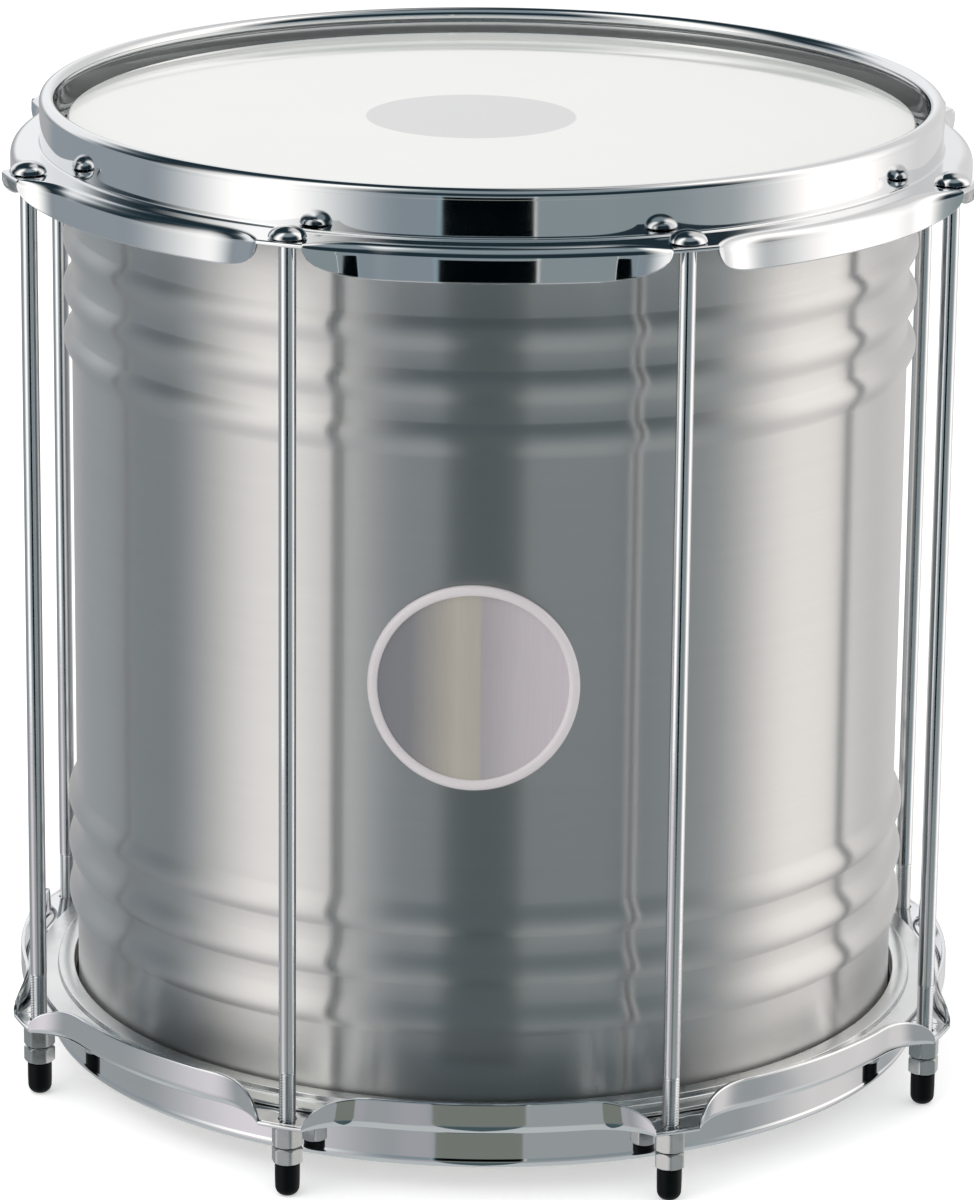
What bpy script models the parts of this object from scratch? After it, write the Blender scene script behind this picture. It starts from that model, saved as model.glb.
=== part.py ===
"""Repinique: a samba drum with a beaded aluminium shell, two tuned heads and eight full-length rods.

Metres, +Z up. The drum stands on the rubber caps of its eight rods, its axis is the Z axis, and
the origin is on the floor under its middle. The badge faces -Y.
"""

import math

import bmesh
import bpy
from mathutils import Matrix, Vector

MM = 0.001

# Shell: a rolled sheet tube with three beads near each end
SHELL_RADIUS = 151.0 * MM
SHELL_LENGTH = 331.6 * MM
SHELL_WALL = 1.5 * MM
BEAD_HEIGHT = 3.0 * MM
BEAD_WIDTH = 13.0 * MM
BEAD_PITCH = 18.4 * MM
BEADS_PER_END = 3
BEAD_INSET = 36.9 * MM

# Heads: a film drawn over the shell's edge and held in a flesh hoop
FILM_THICKNESS = 0.6 * MM
FILM_BEND_RADIUS = 0.4 * MM
COLLAR_HEIGHT = 10.9 * MM
FLESH_WIDTH = 14.0 * MM
FLESH_HEIGHT = 3.6 * MM
FLESH_COLLAR_WIDTH = 6.0 * MM
FLESH_FOOT_HEIGHT = 1.4 * MM
FLESH_GROOVE_DEPTH = 2.2 * MM
FLESH_GROOVE_WIDTH = 1.8 * MM
FLESH_INNER_WALL = 2.0 * MM
FLESH_CHAMFER = 2.7 * MM

# Hoops: pressed steel with an upright wall, a flange over the flesh hoop and a lip turned over it
SHEET = 1.6 * MM
WALL_STANDOFF = 10.8 * MM
TOP_WALL_HEIGHT = 17.4 * MM
BOTTOM_WALL_HEIGHT = 16.2 * MM
RIM_SWELL = 0.1 * MM
RIM_ROLL = 2.9 * MM
LIP_HEIGHT = 12.4 * MM
SHOULDER_RADIUS = 4.4 * MM
EAR_MARGIN = 3.8 * MM
EAR_FLAT = 8.0 * MM
NOTCH_HALF_LENGTH = 32.0 * MM
NOTCH_STEEPNESS = 0.33
EAR_FALL = 2.7
EAR_CORNER = 0.06
LIP_LEAN = 0.2
EAR_EDGE_RADIUS = 1.0 * MM
EAR_STEP = 1.5 * MM
EAR_SHARES = (0.18, 0.34, 0.6)
EDGE_STEP = 0.2 * MM

# Tension rods, nuts and caps
ROD_COUNT = 8
ROD_RADIUS = 3.0 * MM
ROD_HEAD_RADIUS = 6.6 * MM
ROD_HEAD_HEIGHT = 4.2 * MM
THREAD_LENGTH = 41.0 * MM
THREAD_RELIEF = 0.15 * MM
ROD_END_CHAMFER = 0.7 * MM
NUT_ACROSS_FLATS = 10.0 * MM
NUT_CHAMFER = 0.6 * MM
NUT_TURN = math.radians(-22.5)
TENSION_NUT_HEIGHT = 7.8 * MM
LOCK_NUT_HEIGHT = 5.9 * MM
CAP_RADIUS = 4.4 * MM
CAP_LENGTH = 12.0 * MM
CAP_TIP_RADIUS = 2.0 * MM
CAP_BORE_DEPTH = 7.0 * MM

# Badge: a thin round plate curved to the shell, with a raised rim
BADGE_RADIUS = 36.6 * MM
BADGE_PLATE = 0.9 * MM
BADGE_RIM_WIDTH = 3.6 * MM
BADGE_RIM_SHAPE = ((0.22, 0.9 * MM), (0.5, 1.3 * MM), (0.78, 0.9 * MM), (1.0, 0.0))
BADGE_DROP = 1.2 * MM
BADGE_RING_SHARES = (0.4, 0.75)
BADGE_TURN = math.radians(-1.3)

# Clearances
TOUCH = 0.3 * MM
HOLE_CLEARANCE = 0.4 * MM
BORE_CLEARANCE = 0.3 * MM
LIP_CLEARANCE = 4.2 * MM
ROD_CLEARANCE = 4.5 * MM

# Facets
RING_STEPS = 48
ROD_STEPS = 10
BADGE_STEPS = 32
BEAD_POINTS = 3
RIM_POINTS = 8

# Radii that follow from the sizes above
COLLAR_RADIUS = SHELL_RADIUS + TOUCH + FILM_THICKNESS
FLESH_INNER_RADIUS = COLLAR_RADIUS + 2 * TOUCH
FLESH_OUTER_RADIUS = FLESH_INNER_RADIUS + FLESH_WIDTH
GROOVE_RADIUS = FLESH_INNER_RADIUS + FLESH_INNER_WALL + FLESH_GROOVE_WIDTH / 2
WALL_RADIUS = SHELL_RADIUS + WALL_STANDOFF
LIP_RADIUS = FLESH_OUTER_RADIUS + LIP_CLEARANCE + SHEET
ROD_CIRCLE_RADIUS = FLESH_OUTER_RADIUS + ROD_CLEARANCE + ROD_RADIUS
HOLE_RADIUS = ROD_RADIUS + HOLE_CLEARANCE
EAR_RADIUS = ROD_CIRCLE_RADIUS + HOLE_RADIUS + EAR_MARGIN

# Heights that follow from the sizes above
ROD_END_HEIGHT = CAP_LENGTH - CAP_BORE_DEPTH + TOUCH
LOCK_NUT_BASE = CAP_LENGTH + TOUCH
TENSION_NUT_BASE = LOCK_NUT_BASE + LOCK_NUT_HEIGHT + TOUCH
BOTTOM_FLANGE = TENSION_NUT_BASE + TENSION_NUT_HEIGHT + TOUCH
BOTTOM_FILM = BOTTOM_FLANGE + SHEET + TOUCH - COLLAR_HEIGHT
SHELL_BASE = BOTTOM_FILM + FILM_THICKNESS + TOUCH
SHELL_TOP = SHELL_BASE + SHELL_LENGTH
SHELL_MIDDLE = SHELL_BASE + SHELL_LENGTH / 2
TOP_FLANGE = 2 * SHELL_MIDDLE - BOTTOM_FLANGE


def fresh_collection(name):
    """Return a new collection in the scene."""
    collection = bpy.data.collections.new(name)
    bpy.context.scene.collection.children.link(collection)
    return collection


def principled(name, colour, metallic, roughness):
    """Return a material of one plain finish."""
    material = bpy.data.materials.new(name)
    material.use_nodes = True
    shader = material.node_tree.nodes["Principled BSDF"]
    shader.inputs["Base Color"].default_value = (*colour, 1.0)
    shader.inputs["Metallic"].default_value = metallic
    shader.inputs["Roughness"].default_value = roughness
    return material


def add_object(name, mesh, collection, material=None):
    """Link a mesh to the scene as a named object."""
    made = bpy.data.objects.new(name, mesh)
    collection.objects.link(made)
    if material is not None and not mesh.materials:
        mesh.materials.append(material)
    return made


def profile_mesh(name, points, closed):
    """Return a mesh of edges in the XZ plane from (radius, height) points."""
    mesh = bpy.data.meshes.new(name)
    edges = [(i, i + 1) for i in range(len(points) - 1)]
    if closed:
        edges.append((len(points) - 1, 0))
    mesh.from_pydata([(radius, 0.0, height) for radius, height in points], edges, [])
    return mesh


def turn(made, steps):
    """Turn an object's profile once round its own Z axis."""
    screw = made.modifiers.new("Turn", "SCREW")
    screw.axis = "Z"
    screw.angle = 2 * math.pi
    screw.steps = steps
    screw.render_steps = steps
    screw.use_merge_vertices = True
    screw.merge_threshold = 0.00001
    screw.use_smooth_shade = True
    return made


def arc(centre, radius, start, end, count):
    """Return points on an arc in the profile plane, both ends included, angles in degrees."""
    points = []
    for i in range(count):
        angle = math.radians(start + (end - start) * i / (count - 1))
        points.append((centre[0] + radius * math.cos(angle), centre[1] + radius * math.sin(angle)))
    return points


def ease(value):
    """Return 0 to 1 along a smooth step."""
    value = min(max(value, 0.0), 1.0)
    return value * value * (3.0 - 2.0 * value)


def mirrored(points, height):
    """Return a profile turned upside down about a height, still running the same way round."""
    return [(radius, 2 * height - z) for radius, z in reversed(points)]


def rod_angle(index):
    """Return a rod's angle round the drum, from the badge, counted anticlockwise from above."""
    return 2 * math.pi * (index + 0.5) / ROD_COUNT


def on_circle(radius, angle, height):
    """Return the point at an angle from -Y round the drum."""
    return Vector((radius * math.sin(angle), -radius * math.cos(angle), height))


def bead_profile(edge):
    """Return an upper bead's points, from its crisp top edge down its slower slope."""
    points = []
    for i in range(BEAD_POINTS + 2):
        share = i / (BEAD_POINTS + 1)
        rise = BEAD_HEIGHT * math.sin(math.pi * share)
        points.append((SHELL_RADIUS + rise, edge - BEAD_WIDTH * share * share))
    return points


def make_shell(collection, material):
    """Make the tube with its beads."""
    inner = SHELL_RADIUS - SHELL_WALL
    upper = []
    for i in range(BEADS_PER_END):
        upper += bead_profile(SHELL_TOP - BEAD_INSET - BEAD_PITCH * i)
    points = [(inner, SHELL_TOP), (SHELL_RADIUS, SHELL_TOP)]
    points += upper + mirrored(upper, SHELL_MIDDLE)
    points += [(SHELL_RADIUS, SHELL_BASE), (inner, SHELL_BASE)]
    return turn(add_object("shell", profile_mesh("shell", points, True), collection, material), RING_STEPS)


def film_profile():
    """Return the batter film: over the shell's edge, down the collar and into the flesh hoop's groove."""
    top = SHELL_TOP + TOUCH + FILM_THICKNESS
    knee = top - COLLAR_HEIGHT
    foot = knee - FLESH_GROOVE_DEPTH + TOUCH
    outer_bend = FILM_BEND_RADIUS + FILM_THICKNESS
    corner = (COLLAR_RADIUS - outer_bend, top - outer_bend)
    outside = GROOVE_RADIUS + FILM_THICKNESS / 2
    inside = GROOVE_RADIUS - FILM_THICKNESS / 2
    points = [(0.0, top)] + arc(corner, outer_bend, 90, 0, 3)
    points += [(outside, knee), (outside, foot), (inside, foot), (inside, knee - FILM_THICKNESS)]
    points += arc(corner, FILM_BEND_RADIUS, 0, 90, 3) + [(0.0, top - FILM_THICKNESS)]
    return points


def flesh_profile():
    """Return the batter flesh hoop: a collar with a groove for the film's edge and a flat foot outside."""
    top = TOP_FLANGE - SHEET - TOUCH
    near = GROOVE_RADIUS - FLESH_GROOVE_WIDTH / 2
    far = GROOVE_RADIUS + FLESH_GROOVE_WIDTH / 2
    groove = top - FLESH_GROOVE_DEPTH
    step = FLESH_INNER_RADIUS + FLESH_COLLAR_WIDTH
    return [
        (far, top),
        (FLESH_OUTER_RADIUS, top),
        (FLESH_OUTER_RADIUS, top - FLESH_FOOT_HEIGHT),
        (step, top - FLESH_FOOT_HEIGHT),
        (step, top - FLESH_HEIGHT),
        (FLESH_INNER_RADIUS, top - FLESH_HEIGHT),
        (FLESH_INNER_RADIUS, top - FLESH_CHAMFER),
        (near, top - FILM_THICKNESS),
        (near, groove),
        (far, groove),
    ]


def make_heads(collection, film_material, flesh_material):
    """Make the batter head on top and the resonant head underneath."""
    for kind, flip in (("batter", False), ("resonant", True)):
        for piece, points, material in (
            ("head", film_profile(), film_material),
            ("flesh_hoop", flesh_profile(), flesh_material),
        ):
            name = kind + "_" + piece
            points = mirrored(points, SHELL_MIDDLE) if flip else points
            mesh = profile_mesh(name, points, True)
            turn(add_object(name, mesh, collection, material), RING_STEPS)


def hoop_section(offset, wall):
    """Return a hoop's section as (radius, height above the flange) at a distance along from a rod.

    The wall has its own height. Beside a rod the lip is bent up and out into a flat ear, and its
    edge rises with it.
    """
    away = abs(offset)
    along = min(max(away - EAR_FLAT, 0.0) / (NOTCH_HALF_LENGTH - EAR_FLAT), 1.0)
    bulge = (EAR_RADIUS - LIP_RADIUS) * (1.0 - along * along / (along + EAR_CORNER)) ** EAR_FALL
    rise = ease(along**NOTCH_STEEPNESS)
    reach = LIP_RADIUS + bulge
    drop = SHEET + (LIP_HEIGHT - SHEET) * rise
    bend = (SHOULDER_RADIUS - SHEET) * rise
    shoulder = EAR_EDGE_RADIUS + (SHOULDER_RADIUS - EAR_EDGE_RADIUS) * rise
    root = reach - LIP_LEAN * bulge * rise
    step = EDGE_STEP * (1.0 - rise)
    inner = WALL_RADIUS - SHEET
    rim = (WALL_RADIUS + RIM_SWELL - RIM_ROLL, wall - RIM_ROLL)
    outside = -math.degrees(math.acos((WALL_RADIUS - rim[0]) / RIM_ROLL))
    inside = 360.0 - math.degrees(math.acos((inner - rim[0]) / RIM_ROLL))
    points = arc(rim, RIM_ROLL, inside, outside, RIM_POINTS) + [(WALL_RADIUS, 0.0)]
    points += arc((root - shoulder, -shoulder), shoulder, 90, 0, 3)
    points += [
        (reach, -drop),
        (reach - SHEET, -drop),
        (root - SHEET - step, -SHEET - bend),
        (root - SHEET - 2 * step - bend, -SHEET),
        (inner, -SHEET),
    ]
    return points


def hoop_offsets():
    """Return the distances along from a rod at which the hoop's section is drawn, for one sector."""
    half_sector = math.pi / ROD_COUNT * ROD_CIRCLE_RADIUS
    side = [EAR_FLAT, EAR_FLAT + EAR_STEP]
    side += [EAR_FLAT + (NOTCH_HALF_LENGTH - EAR_FLAT) * share for share in EAR_SHARES]
    side += [NOTCH_HALF_LENGTH + (half_sector - NOTCH_HALF_LENGTH) * i / 3 for i in (0, 1, 2)]
    return [-offset for offset in reversed(side)] + [0.0] + side + [half_sector]


def hoop_angles():
    """Return pairs of an angle round the drum and the distance there from the nearest rod."""
    pairs = []
    for index in range(ROD_COUNT):
        for offset in hoop_offsets():
            pairs.append((rod_angle(index) + offset / ROD_CIRCLE_RADIUS, offset))
    return pairs


def make_hoop(name, flange, direction, wall, collection, cutters, material):
    """Loft a hoop round the drum and drill it for the rods; direction is 1 for the top, -1 below."""
    bm = bmesh.new()
    rings = []
    for angle, offset in hoop_angles():
        section = hoop_section(offset, wall)
        rings.append([bm.verts.new(on_circle(r, angle, flange + direction * h)) for r, h in section])
    for here, after in zip(rings, rings[1:] + rings[:1]):
        for i in range(len(here)):
            j = (i + 1) % len(here)
            bm.faces.new((here[i], here[j], after[j], after[i]))
    bmesh.ops.recalc_face_normals(bm, faces=bm.faces)
    mesh = bpy.data.meshes.new(name)
    bm.to_mesh(mesh)
    bm.free()
    mesh.shade_smooth()
    mesh.set_sharp_from_angle(angle=math.radians(40))
    hoop = add_object(name, mesh, collection, material)
    holes = drill(name + "_holes", flange - direction * SHEET / 2, SHEET * 3, cutters)
    cut = hoop.modifiers.new("Rod holes", "BOOLEAN")
    cut.operation = "DIFFERENCE"
    cut.object = holes
    return hoop


def drill(name, height, depth, cutters):
    """Return a cutter of one cylinder for each rod."""
    bm = bmesh.new()
    for index in range(ROD_COUNT):
        bmesh.ops.create_cone(
            bm,
            cap_ends=True,
            segments=ROD_STEPS,
            radius1=HOLE_RADIUS,
            radius2=HOLE_RADIUS,
            depth=depth,
            matrix=Matrix.Translation(on_circle(ROD_CIRCLE_RADIUS, rod_angle(index), height)),
        )
    mesh = bpy.data.meshes.new(name)
    bm.to_mesh(mesh)
    bm.free()
    cutter = add_object(name, mesh, cutters)
    cutter.hide_render = True
    cutter.display_type = "WIRE"
    return cutter


def rod_profile():
    """Return a rod from the top of its domed head to its chamfered end, with the threaded stretch slimmer."""
    seat = TOP_FLANGE + TOUCH
    thread_top = ROD_END_HEIGHT + THREAD_LENGTH
    thread = ROD_RADIUS - THREAD_RELIEF
    points = [(0.0, seat + ROD_HEAD_HEIGHT)]
    for tilt in (math.radians(30), math.radians(60), math.radians(85)):
        points.append((ROD_HEAD_RADIUS * math.sin(tilt), seat + ROD_HEAD_HEIGHT * math.cos(tilt)))
    points += [
        (ROD_HEAD_RADIUS, seat),
        (ROD_RADIUS, seat),
        (ROD_RADIUS, thread_top + THREAD_RELIEF),
        (thread, thread_top),
        (thread, ROD_END_HEIGHT + ROD_END_CHAMFER),
        (thread - ROD_END_CHAMFER, ROD_END_HEIGHT),
        (0.0, ROD_END_HEIGHT),
    ]
    return points


def cap_profile():
    """Return a rubber cap from the edge of its bore round its outside and tip and up the bore."""
    bore = ROD_RADIUS - THREAD_RELIEF + TOUCH
    points = [(bore, CAP_LENGTH), (CAP_RADIUS, CAP_LENGTH)]
    points += arc((CAP_RADIUS - CAP_TIP_RADIUS, CAP_TIP_RADIUS), CAP_TIP_RADIUS, 0, -90, 3)
    points += [(0.0, 0.0), (0.0, CAP_LENGTH - CAP_BORE_DEPTH), (bore, CAP_LENGTH - CAP_BORE_DEPTH)]
    return points


def prism(name, sides, radius, height):
    """Return a regular prism's mesh from its corner radius, standing on its own origin."""
    bm = bmesh.new()
    bmesh.ops.create_cone(
        bm,
        cap_ends=True,
        segments=sides,
        radius1=radius,
        radius2=radius,
        depth=height,
        matrix=Matrix.Translation((0.0, 0.0, height / 2)),
    )
    mesh = bpy.data.meshes.new(name)
    bm.to_mesh(mesh)
    bm.free()
    return mesh


def nut_mesh(name, height, material):
    """Return a hexagon nut with chamfered ends and a clear bore, standing on its own origin."""
    holder = fresh_collection(name + "_workshop")
    body = add_object(name, prism(name, 6, NUT_ACROSS_FLATS / math.sqrt(3), height), holder, material)
    rims = body.modifiers.new("Chamfer", "BEVEL")
    rims.width = NUT_CHAMFER
    rims.segments = 1
    rims.limit_method = "ANGLE"
    rims.angle_limit = math.radians(75)
    cutter = prism(name + "_bore", ROD_STEPS, ROD_RADIUS + BORE_CLEARANCE, height * 2)
    bore = add_object(name + "_bore", cutter, holder)
    bore.location.z = -height / 2
    cut = body.modifiers.new("Bore", "BOOLEAN")
    cut.operation = "DIFFERENCE"
    cut.object = bore
    evaluated = body.evaluated_get(bpy.context.evaluated_depsgraph_get())
    mesh = bpy.data.meshes.new_from_object(evaluated)
    for helper in (body, bore):
        bpy.data.objects.remove(helper)
    bpy.data.collections.remove(holder)
    return mesh


def place(name, mesh, collection, material, index, height, spin):
    """Put a piece on a rod's axis at a height, facing outwards and then turned by its own spin."""
    made = add_object(name + "_" + str(index + 1), mesh, collection, material)
    made.location = on_circle(ROD_CIRCLE_RADIUS, rod_angle(index), height)
    made.rotation_euler = (0.0, 0.0, rod_angle(index) + spin)
    return made


def make_fasteners(collection, chrome, zinc, rubber):
    """Make the rods, their tension nuts, lock nuts and end caps."""
    rod = profile_mesh("tension_rod", rod_profile(), False)
    cap = profile_mesh("end_cap", cap_profile(), True)
    tension_nut = nut_mesh("tension_nut", TENSION_NUT_HEIGHT, zinc)
    lock_nut = nut_mesh("lock_nut", LOCK_NUT_HEIGHT, zinc)
    for index in range(ROD_COUNT):
        turn(place("tension_rod", rod, collection, chrome, index, 0.0, 0.0), ROD_STEPS)
        turn(place("end_cap", cap, collection, rubber, index, 0.0, 0.0), ROD_STEPS)
        place("tension_nut", tension_nut, collection, zinc, index, TENSION_NUT_BASE, NUT_TURN)
        place("lock_nut", lock_nut, collection, zinc, index, LOCK_NUT_BASE, NUT_TURN)


def badge_profile():
    """Return the badge's turned section: its plate, its raised rim and its flat back."""
    land = BADGE_RADIUS - BADGE_RIM_WIDTH
    rings = [0.0] + [land * share for share in BADGE_RING_SHARES]
    front = [(radius, BADGE_PLATE) for radius in rings + [land]]
    rim = [(land + BADGE_RIM_WIDTH * across, BADGE_PLATE + rise) for across, rise in BADGE_RIM_SHAPE]
    back = [(radius, 0.0) for radius in [BADGE_RADIUS] + rings[::-1]]
    return front + rim + back


def make_badge(collection, material):
    """Make the round badge flat and curve it to the shell."""
    flat = add_object("badge_flat", profile_mesh("badge_flat", badge_profile(), False), collection)
    turn(flat, BADGE_STEPS)
    evaluated = flat.evaluated_get(bpy.context.evaluated_depsgraph_get())
    mesh = bpy.data.meshes.new_from_object(evaluated)
    bpy.data.objects.remove(flat)
    back_radius = SHELL_RADIUS + TOUCH
    for vertex in mesh.vertices:
        along, up, out = vertex.co
        vertex.co = on_circle(back_radius + out, along / back_radius + BADGE_TURN, SHELL_MIDDLE - BADGE_DROP + up)
    return add_object("badge", mesh, collection, material)


def main():
    """Build the drum from an empty scene."""
    for old in list(bpy.data.objects):
        bpy.data.objects.remove(old)
    drum = fresh_collection("repinique")
    cutters = fresh_collection("cutters")
    aluminium = principled("brushed aluminium", (0.60, 0.62, 0.63), 1.0, 0.32)
    chrome = principled("chromed steel", (0.72, 0.74, 0.76), 1.0, 0.08)
    zinc = principled("zinc plated steel", (0.58, 0.59, 0.58), 1.0, 0.35)
    rubber = principled("black rubber", (0.015, 0.016, 0.017), 0.0, 0.6)
    film = principled("milky film", (0.86, 0.86, 0.84), 0.0, 0.3)
    badge_metal = principled("stamped badge", (0.66, 0.65, 0.66), 1.0, 0.3)
    make_shell(drum, aluminium)
    make_heads(drum, film, aluminium)
    make_hoop("top_hoop", TOP_FLANGE, 1, TOP_WALL_HEIGHT, drum, cutters, chrome)
    make_hoop("bottom_hoop", BOTTOM_FLANGE, -1, BOTTOM_WALL_HEIGHT, drum, cutters, chrome)
    make_fasteners(drum, chrome, zinc, rubber)
    make_badge(drum, badge_metal)


main()
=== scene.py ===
"""Repinique: the finished look of a samba drum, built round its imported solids.

Metres, +Z up. The drum stands on its rubber caps with its badge towards -Y.
"""

import math

import bmesh
import bpy
from mathutils import Matrix, Quaternion, Vector


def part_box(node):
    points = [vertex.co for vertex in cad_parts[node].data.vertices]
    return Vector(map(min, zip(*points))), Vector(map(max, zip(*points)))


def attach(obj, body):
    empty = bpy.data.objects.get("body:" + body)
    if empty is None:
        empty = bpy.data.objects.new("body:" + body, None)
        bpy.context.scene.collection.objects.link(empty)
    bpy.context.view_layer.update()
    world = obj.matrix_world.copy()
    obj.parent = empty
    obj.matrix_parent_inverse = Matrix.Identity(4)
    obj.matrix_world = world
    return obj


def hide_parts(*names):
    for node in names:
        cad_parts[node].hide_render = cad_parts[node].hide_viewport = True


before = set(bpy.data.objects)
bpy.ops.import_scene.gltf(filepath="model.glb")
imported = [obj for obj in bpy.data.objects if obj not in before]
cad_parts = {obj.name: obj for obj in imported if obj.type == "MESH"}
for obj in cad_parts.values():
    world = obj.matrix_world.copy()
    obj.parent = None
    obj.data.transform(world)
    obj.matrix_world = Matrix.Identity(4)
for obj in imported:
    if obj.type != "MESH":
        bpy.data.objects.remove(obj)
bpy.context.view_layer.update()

bl_info = {
    "name": "Repinique",
    "version": (1, 0, 0),
    "blender": (4, 5, 0),
    "location": "3D View > Sidebar > Drum",
    "description": "Builds the pieces, finishes and studio of a metal samba drum",
    "category": "Object",
}

MM = 0.001
DRUM = "drum"
ROD_COUNT = 8

# A point closer to the axis than this counts as on it
ON_AXIS = 1e-7

# Steps round the axis of the turned meshes
SHELL_STEPS = 360
RING_STEPS = 256
BADGE_STEPS = 128
CAP_STEPS = 40

# A bead's section as powers: how steeply it rises, and how far its crest lies towards the shell's edge
BEAD_RISE = 1.6
BEAD_LEAN = 1.25

# Rows of points in one turn of a rod's thread
THREAD_ROWS = 8

# A nut is turned back from its rod's place by half a sector, so the first one lies square with X and Y
NUT_TURN = math.radians(-22.5)

# Nearly all values of a noise lie between these two
NOISE_LOW = 0.3
NOISE_HIGH = 0.7

# The badge plate's painted reflection bands: its edges, then each place between them and its sRGB colour
PLATE_EDGES = (-40.0 * MM, 34.0 * MM)
PLATE_PAINTED_REFLECTION = (
    (0.0, "#85858C"),
    (0.2, "#8F8F93"),
    (0.42, "#CBC4B8"),
    (0.52, "#C6C0B6"),
    (0.535, "#BAB6BA"),
    (0.72, "#D9D0D5"),
    (1.0, "#E6DCE1"),
)

# The soft lamp over the drum's left front: place, aim, side in metres and watts
KEY_LAMP = ((-0.9, -1.0, 1.9), (0.0, 0.0, 0.15), 1.4, 9.0)

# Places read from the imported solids
SHELL_LOW, SHELL_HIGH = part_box("shell")
BATTER_LOW, BATTER_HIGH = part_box("batter_head")
FLESH_LOW, FLESH_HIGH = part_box("batter_flesh_hoop")
ROD_LOW, ROD_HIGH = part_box("tension_rod_1")
TENSION_NUT_LOW, TENSION_NUT_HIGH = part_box("tension_nut_1")
LOCK_NUT_LOW, LOCK_NUT_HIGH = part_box("lock_nut_1")
CAP_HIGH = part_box("end_cap_1")[1]
BADGE_LOW, BADGE_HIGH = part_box("badge")
SHELL_MIDDLE = (SHELL_LOW.z + SHELL_HIGH.z) / 2
TOP_FLANGE = FLESH_HIGH.z + 1.9 * MM
BOTTOM_FLANGE = 2 * SHELL_MIDDLE - TOP_FLANGE
ROD_CENTRE = (ROD_LOW + ROD_HIGH) / 2
ROD_CIRCLE = math.hypot(ROD_CENTRE.x, ROD_CENTRE.y)


# Sizes and colours


def linear(hex_colour):
    """Return an sRGB hex colour as linear red, green and blue."""
    channels = [int(hex_colour[i : i + 2], 16) / 255 for i in (1, 3, 5)]
    return tuple(c / 12.92 if c <= 0.04045 else ((c + 0.055) / 1.055) ** 2.4 for c in channels)


def plain_number(name, description, value, **limits):
    """Return a number property."""
    return bpy.props.FloatProperty(name=name, description=description, default=value, **limits)


def three_numbers(name, description, values, **limits):
    """Return a property of three numbers."""
    return bpy.props.FloatVectorProperty(name=name, description=description, default=values, size=3, **limits)


def length(name, description, millimetres):
    """Return a length property with its default in millimetres."""
    limits = {"min": 0.0, "precision": 5, "subtype": "DISTANCE", "unit": "LENGTH"}
    return plain_number(name, description, millimetres * MM, **limits)


def share(name, description, value):
    """Return a property that runs from 0 to 1."""
    return plain_number(name, description, value, min=0.0, max=1.0, subtype="FACTOR")


def turn(name, description, degrees):
    """Return an angle property with its default in degrees."""
    return plain_number(name, description, math.radians(degrees), subtype="ANGLE", unit="ROTATION")


def colour(name, description, hex_colour):
    """Return a colour property with its default as sRGB hex."""
    return three_numbers(name, description, linear(hex_colour), min=0.0, max=1.0, subtype="COLOR")


class ShellSettings(bpy.types.PropertyGroup):
    """Rolled shell and its beads."""

    radius: length("Radius", "Outside radius of the shell between its beads", 151.0)
    wall: length("Wall", "Thickness of the rolled sheet", 1.5)
    bead_height: length("Bead height", "How far a bead stands out", 3.0)
    bead_width: length("Bead width", "Height of one bead on the shell", 13.0)
    bead_pitch: length("Bead pitch", "Distance from one bead to the next", 18.4)
    bead_inset: length("Bead inset", "Distance from the shell's edge to its first bead", 36.9)
    beads: bpy.props.IntProperty(name="Beads", description="Beads at each end", default=3, min=0, max=6)
    metal: colour("Metal", "Colour of the brushed aluminium", "#D6D6D5")
    roughness: share("Roughness", "Roughness of the brushed aluminium", 0.31)
    bead_shading: share("Bead shading", "How much of a bead's slope the brushed finish shows", 0.4)


class HeadSettings(bpy.types.PropertyGroup):
    """Film heads and their flesh hoops."""

    film: length("Film", "Thickness of the film's solid", 0.6)
    bend: length("Bend", "Inside radius where the film turns over the shell's edge", 0.4)
    collar: length("Collar", "Height from the flesh hoop to the top of the film", 10.9)
    collar_gap: length("Collar gap", "Gap between the shell and the film's collar", 0.3)
    flesh_width: length("Flesh hoop width", "Width of the flesh hoop", 14.0)
    flesh_collar: length("Flesh hoop collar", "Width of the deep part of the flesh hoop", 6.0)
    flesh_foot: length("Flesh hoop foot", "Thickness of the flesh hoop's flat outer part", 1.4)
    groove: length("Groove", "Depth of the flesh hoop's groove", 2.2)
    mark_radius: length("Mark radius", "Radius of the plain disc printed on the film", 37.6)
    mark_forward: length("Mark forward", "Distance of the printed disc before the drum's axis", 4.2)
    mark_left: length("Mark left", "Distance of the printed disc to the left of the axis", 7.4)
    film_colour: colour("Film colour", "Colour of the milky film", "#ECEDE9")
    mark_colour: colour("Mark colour", "Colour of the plain printed disc", "#CBCBCC")
    flesh_metal: colour("Flesh hoop metal", "Colour of the flesh hoop's aluminium", "#ECEEEE")


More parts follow.
